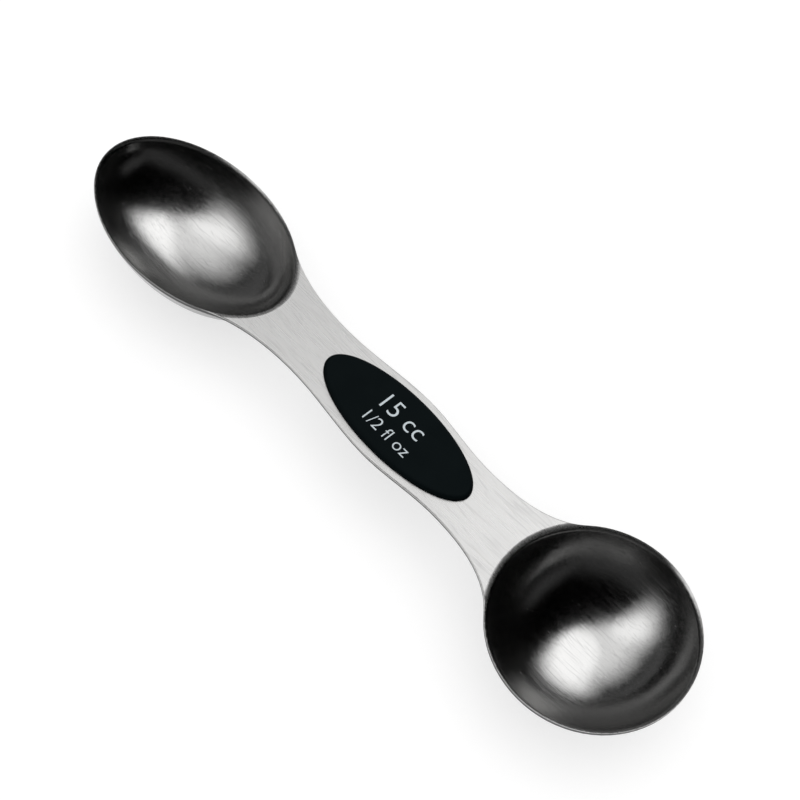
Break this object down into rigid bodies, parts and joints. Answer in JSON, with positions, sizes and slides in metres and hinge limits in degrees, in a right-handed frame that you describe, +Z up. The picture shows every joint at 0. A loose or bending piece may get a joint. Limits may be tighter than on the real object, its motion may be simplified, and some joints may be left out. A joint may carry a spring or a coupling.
{
  "type": "measuring spoon",
  "caption": "Double-ended measuring spoon: a steel strip with a round bowl and an oval bowl, and a raised oval magnetic insert in its flat handle.",
  "frame": {"origin": "under the middle of the spoon's length, on the surface that the feet of both bowls stand on", "axes": "+X along the spoon towards the round bowl, +Z up out of the bowls"},
  "size_m": [0.185, 0.0464, 0.017],
  "materials": {
    "satin_steel": "satin stainless steel, brushed along its length",
    "black_moulding": "black moulded plastic, fine matte, with a pale printed measure mark on the front",
    "magnet_plating": "nickel plated"
  },
  "bodies": {
    "root": {"spoon_blank": "satin_steel", "front_cap": "black_moulding", "back_cap": "black_moulding", "magnet": "magnet_plating"}
  },
  "joints": []
}
